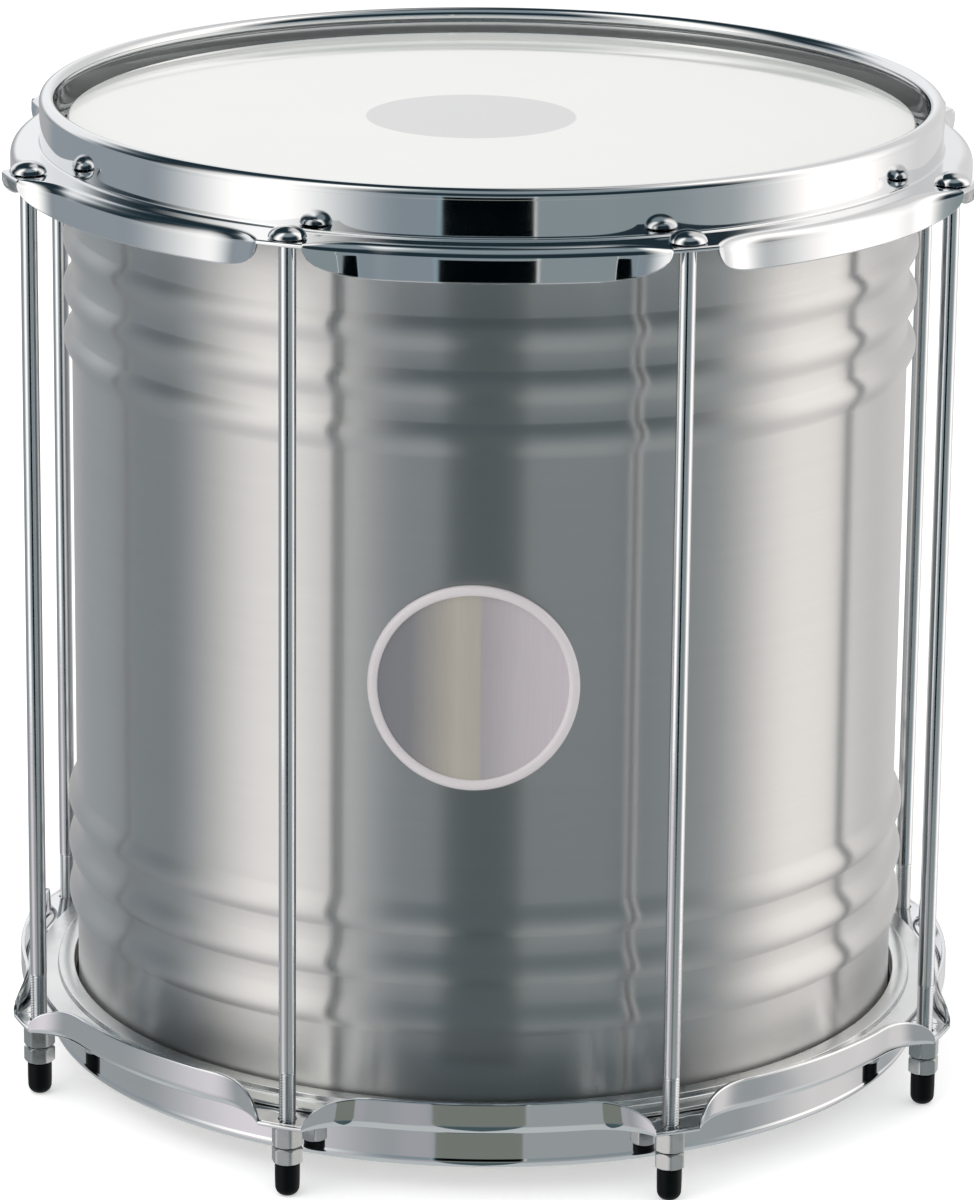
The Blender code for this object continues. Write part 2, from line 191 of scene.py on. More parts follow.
class HoopSettings(bpy.types.PropertyGroup):
    """Pressed hoops with their ears."""

    sheet: length("Sheet", "Thickness of the pressed sheet", 1.6)
    wall_radius: length("Wall radius", "Outside radius of the upright wall", 161.8)
    top_wall: length("Top wall", "Height of the top hoop's wall from its flange", 17.4)
    bottom_wall: length("Bottom wall", "Height of the bottom hoop's wall from its flange", 16.2)
    rim_swell: length("Rim swell", "How far the rolled rim stands out", 0.1)
    rim_roll: length("Rim roll", "Radius of the rolled rim", 2.9)
    lip_radius: length("Lip radius", "Outside radius of the turned lip", 172.3)
    lip_height: length("Lip height", "Height of the turned lip", 12.4)
    shoulder: length("Shoulder", "Outside radius of the bend between flange and lip", 4.4)
    ear_radius: length("Ear radius", "Radius that an ear reaches from the drum's axis", 181.2)
    ear_flat: length("Ear flat", "Half the straight front of an ear", 8.0)
    notch_half: length("Notch half length", "Half the length of the notch in the lip", 32.0)
    notch_steepness: share("Notch steepness", "How fast the lip drops beside an ear", 0.33)
    ear_fall: plain_number("Ear fall", "How fast an ear draws in beside its rod", 2.7)
    ear_corner: share("Ear corner", "How round the corners of an ear are", 0.06)
    lean: share("Lean", "How far a lifted lip leans out", 0.2)
    chrome: colour("Chrome", "Colour of the bright chrome plate", "#E6E8EA")


class HardwareSettings(bpy.types.PropertyGroup):
    """Rods, nuts and end caps."""

    rod_radius: length("Rod radius", "Radius of a tension rod", 3.0)
    head_radius: length("Head radius", "Radius of a rod's domed head", 6.6)
    head_height: length("Head height", "Height of a rod's domed head", 4.2)
    hole_radius: length("Hole radius", "Radius of the rod holes in the hoops", 3.4)
    thread_length: length("Thread length", "Length of the thread at a rod's end", 41.0)
    thread_pitch: length("Thread pitch", "Distance between two turns of the thread", 1.0)
    thread_depth: length("Thread depth", "Depth of the thread", 0.55)
    across_flats: length("Nut width", "Width of a nut across its flats", 10.0)
    cap_radius: length("Cap radius", "Radius of a rubber end cap", 4.4)
    cap_bore: length("Cap bore depth", "How far a rod reaches into its cap", 7.0)
    zinc: colour("Zinc", "Colour of the zinc plate", "#C9CBCA")
    rubber: colour("Rubber", "Colour of the moulded rubber", "#020607")


class BadgeSettings(bpy.types.PropertyGroup):
    """Round badge."""

    radius: length("Radius", "Radius of the badge", 36.6)
    plate: length("Plate", "Thickness of the badge's plate", 0.9)
    rim_width: length("Rim width", "Width of the raised rim", 3.6)
    rim_height: length("Rim height", "Height of the raised rim from the shell", 2.2)
    turned: turn("Place", "Angle of the badge round the shell", -1.3)
    # the plate's plain colour lies under a painted reflection of the room in upright bands
    metal: colour("Metal", "Plain colour of the badge's plate, under its painted bands", "#C3BBB0")
    rim_metal: colour("Rim metal", "Colour of the raised rim", "#EAE4E6")


class StudioSettings(bpy.types.PropertyGroup):
    """Floor, light and camera."""

    floor: colour("Floor", "Colour of the pale floor", "#FBFBFA")
    floor_size: plain_number("Floor size", "Length of the floor's side", 12.0, subtype="DISTANCE")
    floor_lift: plain_number("Floor lift", "Light added to the floor for the camera", 0.42)
    light: plain_number("Light", "Level of the plain soft light", 0.86, min=0.0)
    lens: plain_number("Lens", "Focal length of the camera in millimetres", 174.39)
    camera: three_numbers("Camera", "Where the camera stands", (0.0127, -2.0454, 0.7808), subtype="XYZ")
    aim: three_numbers("Aim", "The point the camera looks at", (0.0, 0.0, 0.1692), subtype="XYZ")
    roll: turn("Roll", "Tilt of the camera about its own axis", 0.585)


# Node helpers


def add_node(tree, kind, inputs=(), **settings):
    """Add a node: settings are its own properties, inputs its sockets' values or what is linked to them."""
    made = tree.nodes.new(kind)
    for name, value in settings.items():
        setattr(made, name, value)
    for name, value in dict(inputs).items():
        if isinstance(value, bpy.types.NodeSocket):
            tree.links.new(value, made.inputs[name])
        else:
            made.inputs[name].default_value = value
    return made


def surface(name, metallic, roughness, base, sockets=()):
    """Return a new material with its tree and shader, which has plain values on its sockets."""
    material = bpy.data.materials.new(name)
    material.use_nodes = True
    tree = material.node_tree
    shader = tree.nodes["Principled BSDF"]
    shader.inputs["Metallic"].default_value = metallic
    shader.inputs["Roughness"].default_value = roughness
    shader.inputs["Base Color"].default_value = (*base, 1.0)
    for socket, value in dict(sockets).items():
        shader.inputs[socket].default_value = value
    return material, tree, shader


def noise(tree, size, detail=2.0, stretch=(1.0, 1.0, 1.0)):
    """Return the value of a noise whose grains measure size metres, divided by stretch along each axis."""
    place = add_node(tree, "ShaderNodeTexCoord").outputs["Object"]
    per_metre = tuple(times / size for times in stretch)
    scaled = add_node(tree, "ShaderNodeVectorMath", {0: place, 1: per_metre}, operation="MULTIPLY")
    inputs = {"Vector": scaled.outputs[0], "Scale": 1.0, "Detail": detail, "Roughness": 0.5}
    return add_node(tree, "ShaderNodeTexNoise", inputs).outputs["Fac"]


def shaded(base, factor):
    """Return a linear colour made lighter or darker."""
    return tuple(min(c * factor, 1.0) for c in base)


def vary(tree, shader, grain, roughness=None, shades=None, depth=None, normal=None):
    """Let a grain change a finish, and return the colour that it makes.

    Roughness holds two ends, shades a colour and the two factors that it runs between, and depth the
    full height of a bump in metres.
    """
    made = None
    if roughness is not None:
        inputs = {"Value": grain, "From Min": NOISE_LOW, "From Max": NOISE_HIGH}
        inputs.update({"To Min": roughness[0], "To Max": roughness[1]})
        rough = add_node(tree, "ShaderNodeMapRange", inputs).outputs["Result"]
        tree.links.new(rough, shader.inputs["Roughness"])
    if shades is not None:
        base, one, two = shades
        inputs = {0: grain, 6: (*shaded(base, one), 1.0), 7: (*shaded(base, two), 1.0)}
        made = add_node(tree, "ShaderNodeMix", inputs, data_type="RGBA").outputs[2]
        tree.links.new(made, shader.inputs["Base Color"])
    if depth is not None:
        inputs = {"Height": grain, "Distance": depth, "Strength": 1.0}
        if normal is not None:
            inputs["Normal"] = normal
        bump = add_node(tree, "ShaderNodeBump", inputs)
        tree.links.new(bump.outputs["Normal"], shader.inputs["Normal"])
    return made


# Finishes


def brushed_aluminium(settings):
    """Rolled aluminium sheet, brushed round its girth.

    The brushing draws each reflection out into an upright streak and leaves fine level lines.
    """
    sockets = {"Anisotropic": 1.0, "Anisotropic Rotation": 0.25}
    material, tree, shader = surface(
        "rolled_aluminium_brushed", 1.0, settings.roughness, settings.metal, sockets
    )
    # the brush lines are drawn 0.6 mm apart, coarser than real ones, so that they show
    grain = noise(tree, 0.6 * MM, 3.0, (0.015, 0.015, 1.0))
    drag = noise(tree, 4.0 * MM, 2.0, (0.04, 0.04, 1.0))
    both = add_node(tree, "ShaderNodeMath", {0: grain, 1: drag}, operation="ADD").outputs[0]
    inputs = {"Value": both, "From Min": 0.7, "From Max": 1.3}
    streaks = add_node(tree, "ShaderNodeMapRange", inputs).outputs["Result"]
    vary(tree, shader, streaks, shades=(settings.metal, 0.98, 1.01))
    # brushing spreads a reflection further up and down than the shader can, which all but hides the
    # beads from the front, so their slope counts for less in the shading
    facing = add_node(tree, "ShaderNodeNewGeometry").outputs["Normal"]
    inputs = {0: facing, 1: (1.0, 1.0, settings.bead_shading)}
    softened = add_node(tree, "ShaderNodeVectorMath", inputs, operation="MULTIPLY").outputs[0]
    level = add_node(tree, "ShaderNodeVectorMath", {0: softened}, operation="NORMALIZE").outputs[0]
    ends = (settings.roughness - 0.015, settings.roughness + 0.015)
    vary(tree, shader, grain, roughness=ends, depth=0.0007 * MM, normal=level)
    tangent = add_node(tree, "ShaderNodeTangent", direction_type="RADIAL", axis="Z")
    tree.links.new(tangent.outputs["Tangent"], shader.inputs["Tangent"])
    return material


def chrome_plate(settings):
    """Pressed steel under bright chrome: a clear mirror, slightly uneven from the press."""
    material, tree, shader = surface("pressed_steel_chrome_plated", 1.0, 0.05, settings.chrome)
    smudge = noise(tree, 22 * MM, 4.0)
    shades = (settings.chrome, 0.96, 1.02)
    vary(tree, shader, smudge, roughness=(0.03, 0.075), shades=shades)
    vary(tree, shader, noise(tree, 16 * MM, 1.0), depth=0.01 * MM)
    return material


def turned_chrome(settings):
    """Turned steel rod under chrome: a mirror with faint rings from the lathe."""
    material, tree, shader = surface("turned_steel_chrome_plated", 1.0, 0.09, settings.chrome)
    rings = noise(tree, 0.6 * MM, 2.0, (0.1, 0.1, 1.0))
    vary(tree, shader, rings, roughness=(0.06, 0.13), depth=0.004 * MM)
    shades = (settings.chrome, 0.9, 0.98)
    vary(tree, shader, noise(tree, 9 * MM), shades=shades)
    return material


def zinc_plate(settings):
    """Cold formed steel under clear zinc: a soft grey sheen with a fine crystal grain."""
    material, tree, shader = surface("formed_steel_zinc_plated", 1.0, 0.3, settings.zinc)
    shades = (settings.zinc, 0.9, 1.05)
    vary(tree, shader, noise(tree, 4 * MM, 2.0), roughness=(0.24, 0.36), shades=shades)
    vary(tree, shader, noise(tree, 0.5 * MM, 3.0), depth=0.015 * MM)
    return material


def moulded_rubber(settings):
    """Moulded black rubber: a dull skin with a broad soft highlight and a fine bloom."""
    sockets = {"IOR": 1.52, "Specular IOR Level": 0.12}
    material, tree, shader = surface("nitrile_rubber_moulded", 0.0, 0.42, settings.rubber, sockets)
    bloom = noise(tree, 1.6 * MM, 3.0)
    vary(tree, shader, bloom, roughness=(0.36, 0.5), shades=(settings.rubber, 1.0, 1.5))
    vary(tree, shader, noise(tree, 0.35 * MM, 2.0), depth=0.02 * MM)
    return material


def polyester_film(settings, marked):
    """Milky polyester film: white, smooth and glossy, with faint clouding and a plain printed disc."""
    name = "polyester_film_printed" if marked else "polyester_film_drawn"
    material, tree, shader = surface(name, 0.0, 0.06, settings.film_colour, {"IOR": 1.64})
    shades = (settings.film_colour, 0.98, 1.01)
    film = vary(tree, shader, noise(tree, 30 * MM, 4.0), roughness=(0.045, 0.08), shades=shades)
    vary(tree, shader, noise(tree, 14 * MM, 2.0), depth=0.01 * MM)
    if marked:
        place = add_node(tree, "ShaderNodeTexCoord").outputs["Object"]
        inputs = {0: place, 1: (-settings.mark_left, -settings.mark_forward, 0.0)}
        offset = add_node(tree, "ShaderNodeVectorMath", inputs, operation="SUBTRACT").outputs[0]
        inputs = {0: offset, 1: (1.0, 1.0, 0.0)}
        level = add_node(tree, "ShaderNodeVectorMath", inputs, operation="MULTIPLY").outputs[0]
        away = add_node(tree, "ShaderNodeVectorMath", {0: level}, operation="LENGTH").outputs["Value"]
        soft = 0.4 * MM
        near, far = settings.mark_radius - soft, settings.mark_radius + soft
        inputs = {"Value": away, "From Min": near, "From Max": far, "To Min": 1.0, "To Max": 0.0}
        inside = add_node(tree, "ShaderNodeMapRange", inputs).outputs["Result"]
        inputs = {0: inside, 6: film, 7: (*settings.mark_colour, 1.0)}
        printed = add_node(tree, "ShaderNodeMix", inputs, data_type="RGBA").outputs[2]
        tree.links.new(printed, shader.inputs["Base Color"])
    return material


def extruded_aluminium(settings):
    """Extruded aluminium channel, bent to a ring: satin, with drawing lines along it."""
    material, tree, shader = surface("extruded_aluminium_satin", 1.0, 0.26, settings.flesh_metal)
    lines = noise(tree, 0.8 * MM, 2.0, (0.03, 0.03, 1.0))
    shades = (settings.flesh_metal, 0.94, 1.03)
    vary(tree, shader, lines, roughness=(0.2, 0.32), shades=shades, depth=0.01 * MM)
    return material


def stamped_plate(settings):
    """Stamped nickel plate, brushed upright, with the room's reflection painted in as soft upright bands.

    From the left the painted bands are dark grey, warm grey and, past a step in the middle, pale pinkish
    grey.
    """
    material, tree, shader = surface("stamped_nickel_brushed", 0.4, 0.42, settings.metal)
    lines = noise(tree, 0.5 * MM, 2.0, (1.0, 1.0, 0.03))
    vary(tree, shader, lines, roughness=(0.36, 0.46), depth=0.002 * MM)
    place = add_node(tree, "ShaderNodeTexCoord").outputs["Object"]
    parts = add_node(tree, "ShaderNodeSeparateXYZ", {0: place})
    inputs = {"Value": parts.outputs["X"], "From Min": PLATE_EDGES[0], "From Max": PLATE_EDGES[1]}
    across = add_node(tree, "ShaderNodeMapRange", inputs).outputs["Result"]
    # painted reflection: the room's bands laid into the plate's colour from its left edge to its right
    ramp = add_node(tree, "ShaderNodeValToRGB", {0: across})
    stops = ramp.color_ramp.elements
    while len(stops) < len(PLATE_PAINTED_REFLECTION):
        stops.new(0.5)
    for stop, (where, hex_colour) in zip(stops, PLATE_PAINTED_REFLECTION):
        stop.position = where
        stop.color = (*linear(hex_colour), 1.0)
    inputs = {"Value": lines, "From Min": NOISE_LOW, "From Max": NOISE_HIGH, "To Min": 0.97, "To Max": 1.02}
    fine = add_node(tree, "ShaderNodeMapRange", inputs).outputs["Result"]
    inputs = {0: ramp.outputs["Color"], 3: fine}
    shade = add_node(tree, "ShaderNodeVectorMath", inputs, operation="SCALE").outputs[0]
    tree.links.new(shade, shader.inputs["Base Color"])
    return material


def blasted_rim(settings):
    """Stamped rim, blasted dull: it takes the room's light evenly."""
    material, tree, shader = surface("stamped_nickel_blasted", 0.35, 0.6, settings.rim_metal)
    grit = noise(tree, 0.35 * MM, 2.0)
    shades = (settings.rim_metal, 0.96, 1.02)
    vary(tree, shader, grit, roughness=(0.54, 0.66), shades=shades, depth=0.02 * MM)
    return material


# Mesh helpers


def rod_angle(index):
    """Return a rod's angle round the drum from the badge, counted anticlockwise from above."""
    return 2 * math.pi * (index + 0.5) / ROD_COUNT


def on_circle(radius, angle, height):
    """Return the point at an angle from -Y round the drum."""
    return Vector((radius * math.sin(angle), -radius * math.cos(angle), height))


def arc(centre, radius, start, end, count):
    """Return points on an arc in the profile plane, both ends included, angles in degrees."""
    points = []
    for i in range(count):
        angle = math.radians(start + (end - start) * i / (count - 1))
        points.append((centre[0] + radius * math.cos(angle), centre[1] + radius * math.sin(angle)))
    return points


def ease(value):
    """Return 0 to 1 along a smooth step."""
    value = min(max(value, 0.0), 1.0)
    return value * value * (3.0 - 2.0 * value)


def mirrored(points, height):
    """Return a profile turned upside down about a height."""
    return [(radius, 2 * height - z) for radius, z in reversed(points)]


def rounded(points, radius, count=4, corners=None):
    """Return a closed profile with its corners, all or those listed, rounded to a small radius."""
    made = []
    total = len(points)
    for i, point in enumerate(points):
        here = Vector(point)
        before = Vector(points[i - 1]) - here
        after = Vector(points[(i + 1) % total]) - here
        if corners is not None and i not in corners:
            made.append(tuple(here))
            continue
        cut = min(radius, before.length * 0.45, after.length * 0.45)
        first = here + before.normalized() * cut
        last = here + after.normalized() * cut
        for step in range(count + 1):
            t = step / count
            made.append(tuple(first * (1 - t) ** 2 + here * 2 * t * (1 - t) + last * t * t))
    return made


def join(bm, here, after):
    """Close the strip between two rings with faces, which have three corners where a ring is one vertex."""
    for i in range(len(here)):
        j = (i + 1) % len(here)
        corners = [here[i], here[j], after[j], after[i]]
        corners = [vertex for n, vertex in enumerate(corners) if vertex not in corners[:n]]
        if len(corners) > 2:
            bm.faces.new(corners)


def lathe(name, points, steps, closed=True):
    """Return a mesh turned round Z from (radius, height) points; points on the axis become one vertex."""
    bm = bmesh.new()
    rings = []
    for radius, height in points:
        if radius < ON_AXIS:
            rings.append([bm.verts.new((0.0, 0.0, height))] * steps)
            continue
        ring = []
        for step in range(steps):
            ring.append(bm.verts.new(on_circle(radius, 2 * math.pi * step / steps, height)))
        rings.append(ring)
    pairs = list(zip(rings, rings[1:]))
    if closed:
        pairs.append((rings[-1], rings[0]))
    for here, after in pairs:
        join(bm, here, after)
    return finished_mesh(name, bm)


def finished_mesh(name, bm, sharp=35.0):
    """Return a bmesh as a smooth shaded mesh with outward normals and sharp edges over an angle."""
    bmesh.ops.recalc_face_normals(bm, faces=bm.faces)
    mesh = bpy.data.meshes.new(name)
    bm.to_mesh(mesh)
    bm.free()
    mesh.shade_smooth()
    mesh.set_sharp_from_angle(angle=math.radians(sharp))
    return mesh


def add_object(name, data):
    """Put a new object in the scene and return it."""
    made = bpy.data.objects.new(name, data)
    bpy.context.scene.collection.objects.link(made)
    return made


def add_piece(name, mesh, material, body, slot, *nodes):
    """Put a finished piece in the scene, on its body, in place of its solids and of its earlier self."""
    clear_piece(name)
    piece = add_object(name, mesh)
    if not mesh.materials:
        mesh.materials.append(material)
    if nodes:
        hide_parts(*nodes)
    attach(piece, body)
    return piece


def add_at_rods(start, ending, mesh, material, slot, node):
    """Put one piece of the drum's body at each rod, with the rod's number in its name."""
    for index in range(ROD_COUNT):
        number = str(index + 1)
        piece = add_piece(start + number + ending, mesh, material, DRUM, slot, node + number)
        piece.matrix_world = Matrix.Translation(on_circle(ROD_CIRCLE, rod_angle(index), 0.0))


def clear_piece(*names):
    """Take away pieces of an earlier run of the same button."""
    for name in names:
        old = bpy.data.objects.get(name)
        if old is not None:
            bpy.data.objects.remove(old)


# Pieces


class DrumOperator(bpy.types.Operator):
    """Common ground of the drum's buttons."""

    bl_options = {"REGISTER", "UNDO"}

    def execute(self, context):
        self.build(context.scene)
        return {"FINISHED"}


class DRUM_OT_shell(DrumOperator):
    """Roll the aluminium shell with its beads"""

    bl_idname = "drum.shell"
    bl_label = "Shell"

    def build(self, scene):
        settings = scene.drum_shell
        inner = settings.radius - settings.wall
        top, base = SHELL_HIGH.z, SHELL_LOW.z
        upper = []
        count = 16
        for bead in range(settings.beads):
            edge = top - settings.bead_inset - settings.bead_pitch * bead
            for i in range(count + 1):
                t = i / count
                rise = settings.bead_height * math.sin(math.pi * t) ** BEAD_RISE
                upper.append((settings.radius + rise, edge - settings.bead_width * t**BEAD_LEAN))
        outside = [(settings.radius, top)] + upper + mirrored(upper, SHELL_MIDDLE) + [(settings.radius, base)]
        inside = [(inner, base)]
        lower = [(radius - settings.wall, z) for radius, z in reversed(upper + mirrored(upper, SHELL_MIDDLE))]
        inside += lower + [(inner, top)]
        points = outside + inside
        last = len(outside)
        corners = {0, last - 1, last, len(points) - 1}
        mesh = lathe("rolled_shell", rounded(points, 0.4 * MM, 3, corners), SHELL_STEPS)
        add_piece("rolled_shell", mesh, brushed_aluminium(settings), DRUM, "shell", "shell")


class DRUM_OT_heads(DrumOperator):
    """Draw the two films over the shell's edges"""

    bl_idname = "drum.heads"
    bl_label = "Heads"

    def build(self, scene):
        settings = scene.drum_heads
        film = settings.film
        top = BATTER_HIGH.z
        knee = top - settings.collar
        foot = BATTER_LOW.z
        outside = BATTER_HIGH.x
        bend = settings.bend + film
        collar = scene.drum_shell.radius + settings.collar_gap + film
        corner = (collar - bend, top - bend)
        rings = [0.0] + [collar * s for s in (0.2, 0.4, 0.6, 0.8, 0.95)]
        points = [(radius, top) for radius in rings]
        points += arc(corner, bend, 90, 0, 7)
        points += [(collar + 0.05 * MM, knee + 2.0 * MM)]
        points += arc((outside - 0.8 * MM, knee - 0.8 * MM), 0.8 * MM, 60, 0, 4)
        points += [(outside, foot), (outside - film, foot), (outside - film, knee - 0.7 * MM)]
        points += arc(corner, settings.bend, 0, 90, 4)
        points += [(radius, top - film) for radius in reversed(rings)]
        for name, node, flip in (
            ("batter_film", "batter_head", False),
            ("resonant_film", "resonant_head", True),
        ):
            shape = mirrored(points, SHELL_MIDDLE) if flip else points
            mesh = lathe(name, shape, RING_STEPS, closed=False)
            add_piece(name, mesh, polyester_film(settings, not flip), DRUM, "head_film", node)


class DRUM_OT_flesh_hoops(DrumOperator):
    """Bend the two flesh hoops that hold the films"""

    bl_idname = "drum.flesh_hoops"
    bl_label = "Flesh hoops"

    def build(self, scene):
        settings = scene.drum_heads
        top, base = FLESH_HIGH.z, FLESH_LOW.z
        outer = FLESH_HIGH.x
        inner = outer - settings.flesh_width
        near, far = inner + 2.0 * MM, inner + 3.8 * MM
        groove = top - settings.groove
        points = [
            (far, top),
            (outer, top),
            (outer, top - settings.flesh_foot),
            (inner + settings.flesh_collar, top - settings.flesh_foot),
            (inner + settings.flesh_collar, base),
            (inner, base),
            (inner, top - 2.7 * MM),
            (near, top - settings.film),
            (near, groove),
            (far, groove),
        ]
        metal = extruded_aluminium(settings)
        for name, node, flip in (
            ("batter_flesh_ring", "batter_flesh_hoop", False),
            ("resonant_flesh_ring", "resonant_flesh_hoop", True),
        ):
            shape = rounded(points, 0.5 * MM, 3)
            shape = mirrored(shape, SHELL_MIDDLE) if flip else shape
            add_piece(name, lathe(name, shape, RING_STEPS), metal, DRUM, "flesh_hoop", node)


def hoop_section(settings, offset, height):
    """Return a hoop's section as (radius, height above the flange) at a distance along from a rod."""
    sheet = settings.sheet
    wall = settings.wall_radius
    inner = wall - sheet
    along = max(abs(offset) - settings.ear_flat, 0.0) / (settings.notch_half - settings.ear_flat)
    along = min(along, 1.0)
    fall = along * along / (along + settings.ear_corner)
    bulge = (settings.ear_radius - settings.lip_radius) * (1.0 - fall) ** settings.ear_fall
    rise = ease(along**settings.notch_steepness)
    reach = settings.lip_radius + bulge
    drop = sheet + (settings.lip_height - sheet) * rise
    bend = (settings.shoulder - sheet) * rise
    shoulder = 1.0 * MM + (settings.shoulder - 1.0 * MM) * rise
    root = reach - settings.lean * bulge * rise
    step = 0.2 * MM * (1.0 - rise)
    edge = 0.45 * MM
    fillet = 0.7 * MM
    hold = 0.3 * MM
    roll = settings.rim_roll
    rim = (wall + settings.rim_swell - roll, height - roll)
    outside = -math.degrees(math.acos((wall - rim[0]) / roll))
    inside = 360.0 - math.degrees(math.acos((inner - rim[0]) / roll))
    foot = rim[1] - roll * math.sin(math.radians(-outside))
    points = arc(rim, roll, inside, outside, 26)
    points += [(wall, foot - hold), (wall, fillet + hold)]
    points += arc((wall + fillet, fillet), fillet, 180, 270, 5)
    points += [(wall + fillet + hold, 0.0), (root - shoulder - hold, 0.0)]
    points += arc((root - shoulder, -shoulder), shoulder, 90, 0, 12)
    low = -drop + edge
    if -shoulder - low > 2.5 * hold:
        lean = (reach - root) / (-shoulder - low)
        points += [(root + lean * hold, -shoulder - hold), (reach - lean * hold, low + hold)]
    else:
        points += [(reach, (low - shoulder) / 2)] * 2
    points += arc((reach - edge, low), edge, 0, -90, 4)
    points += arc((reach - sheet + edge, low), edge, -90, -180, 4)
    hollow = max(bend, 0.05 * MM)
    points += arc((root - sheet - step - hollow, -sheet - hollow), hollow, 0, 90, 6)
    points += [(inner + 0.6 * MM, -sheet), (inner, -sheet + 0.6 * MM), (inner, rim[1] - roll - hold)]
    return points


def hoop_offsets(settings):
    """Return the distances along from a rod at which the section is drawn, for one sector."""
    half_sector = math.pi / ROD_COUNT * ROD_CIRCLE
    near = [settings.ear_flat * i / 4 for i in range(1, 5)]
    span = settings.notch_half - settings.ear_flat
    bent = [settings.ear_flat + span * (i / 26) ** 1.6 for i in range(1, 27)]
    plain = [settings.notch_half + (half_sector - settings.notch_half) * i / 16 for i in range(1, 16)]
    side = near + bent + plain
    return [-offset for offset in reversed(side)] + [0.0] + side + [half_sector]


def hoop_mesh(name, settings, flange, direction, height):
    """Return a hoop lofted round the drum; direction is 1 for the top hoop and -1 for the bottom one."""
    bm = bmesh.new()
    rings = []
    for index in range(ROD_COUNT):
        for offset in hoop_offsets(settings):
            angle = rod_angle(index) + offset / ROD_CIRCLE
            section = hoop_section(settings, offset, height)
            rings.append([bm.verts.new(on_circle(r, angle, flange + direction * h)) for r, h in section])
    for here, after in zip(rings, rings[1:] + rings[:1]):
        join(bm, here, after)
    return finished_mesh(name, bm, 30.0)


def rod_holes(radius, height, depth):
    """Return a cutter with one cylinder for each rod."""
    bm = bmesh.new()
    for index in range(ROD_COUNT):
        bmesh.ops.create_cone(
            bm,
            cap_ends=True,
            segments=32,
            radius1=radius,
            radius2=radius,
            depth=depth,
            matrix=Matrix.Translation(on_circle(ROD_CIRCLE, rod_angle(index), height)),
        )
    mesh = bpy.data.meshes.new("rod_holes")
    bm.to_mesh(mesh)
    bm.free()
    cutter = add_object("rod_holes", mesh)
    return cutter


def drilled(mesh, cutter):
    """Return a mesh with the cutter's shape taken out of it, shaded as before."""
    blank = add_object(mesh.name + "_blank", mesh)
    cut = blank.modifiers.new("Rod holes", "BOOLEAN")
    cut.operation = "DIFFERENCE"
    cut.object = cutter
    evaluated = blank.evaluated_get(bpy.context.evaluated_depsgraph_get())
    made = bpy.data.meshes.new_from_object(evaluated)
    made.name = mesh.name
    for helper in (blank, cutter):
        bpy.data.objects.remove(helper)
    return made


class DRUM_OT_hoops(DrumOperator):
    """Press the two hoops and drill their ears"""

    bl_idname = "drum.hoops"
    bl_label = "Hoops"

    def build(self, scene):
        settings = scene.drum_hoops
        chrome = chrome_plate(settings)
        for name, node, flange, direction, height in (
            ("top_hoop_pressed", "top_hoop", TOP_FLANGE, 1, settings.top_wall),
            ("bottom_hoop_pressed", "bottom_hoop", BOTTOM_FLANGE, -1, settings.bottom_wall),
        ):
            blank = hoop_mesh(name, settings, flange, direction, height)
            middle = flange - direction * settings.sheet / 2
            cutter = rod_holes(scene.drum_hardware.hole_radius, middle, settings.sheet * 3)
            add_piece(name, drilled(blank, cutter), chrome, DRUM, "hoop", node)


def threaded_rod(settings):
    """Return a rod about the Z axis at world heights, from its domed head to the end of its cut thread."""
    seat = ROD_HIGH.z - settings.head_height
    radius = settings.rod_radius
    thread_top = ROD_LOW.z + settings.thread_length
    end = ROD_LOW.z
    dome = settings.head_radius
    rings = [(0.0, ROD_HIGH.z, 0.0)]
    for i in range(1, 11):
        tilt = math.radians(84 * i / 10)
        rings.append((dome * math.sin(tilt), seat + settings.head_height * math.cos(tilt), 0.0))
    rings += [(dome, seat + 0.35 * MM, 0.0), (dome - 0.3 * MM, seat, 0.0), (radius + 0.5 * MM, seat, 0.0)]
    rings += [(radius, seat - 0.2 * MM, 0.0), (radius, (seat + thread_top) / 2, 0.0)]
    rows = int(round((settings.thread_length - 1.0 * MM) / settings.thread_pitch * THREAD_ROWS))
    for row in range(rows + 1):
        # the thread deepens over its first turn and a half and runs out over its last turn
        fade = min(1.0, row / (1.5 * THREAD_ROWS)) * min(1.0, (rows - row) / THREAD_ROWS)
        height = thread_top - settings.thread_pitch * row / THREAD_ROWS
        rings.append((radius, height, settings.thread_depth * fade))
    rings += [(radius - 0.1 * MM, end + 0.6 * MM, 0.0), (radius - 0.7 * MM, end, 0.0), (0.0, end, 0.0)]
    steps = 32
    bm = bmesh.new()
    loops = []
    for r, z, depth in rings:
        if r == 0.0:
            loops.append([bm.verts.new((0.0, 0.0, z))] * steps)
            continue
        loop = []
        for i in range(steps):
            # the height over a turn of the screw, whose crest is at 0 and 1 and whose root is at a half
            place = (z / settings.thread_pitch - i / steps) % 1.0
            groove = min(max(1.5 - abs(place - 0.5) * 4.0, 0.0), 1.0)
            loop.append(bm.verts.new(on_circle(r - depth * groove, 2 * math.pi * i / steps, z)))
        loops.append(loop)
    for here, after in zip(loops, loops[1:]):
        join(bm, here, after)
    return finished_mesh("threaded_rod", bm, 50.0)


class DRUM_OT_rods(DrumOperator):
    """Turn the tension rods and cut their threads"""

    bl_idname = "drum.rods"
    bl_label = "Tension rods"

    def build(self, scene):
        chrome = turned_chrome(scene.drum_hoops)
        mesh = threaded_rod(scene.drum_hardware)
        add_at_rods("rod_", "_turned", mesh, chrome, "rod", "tension_rod_")


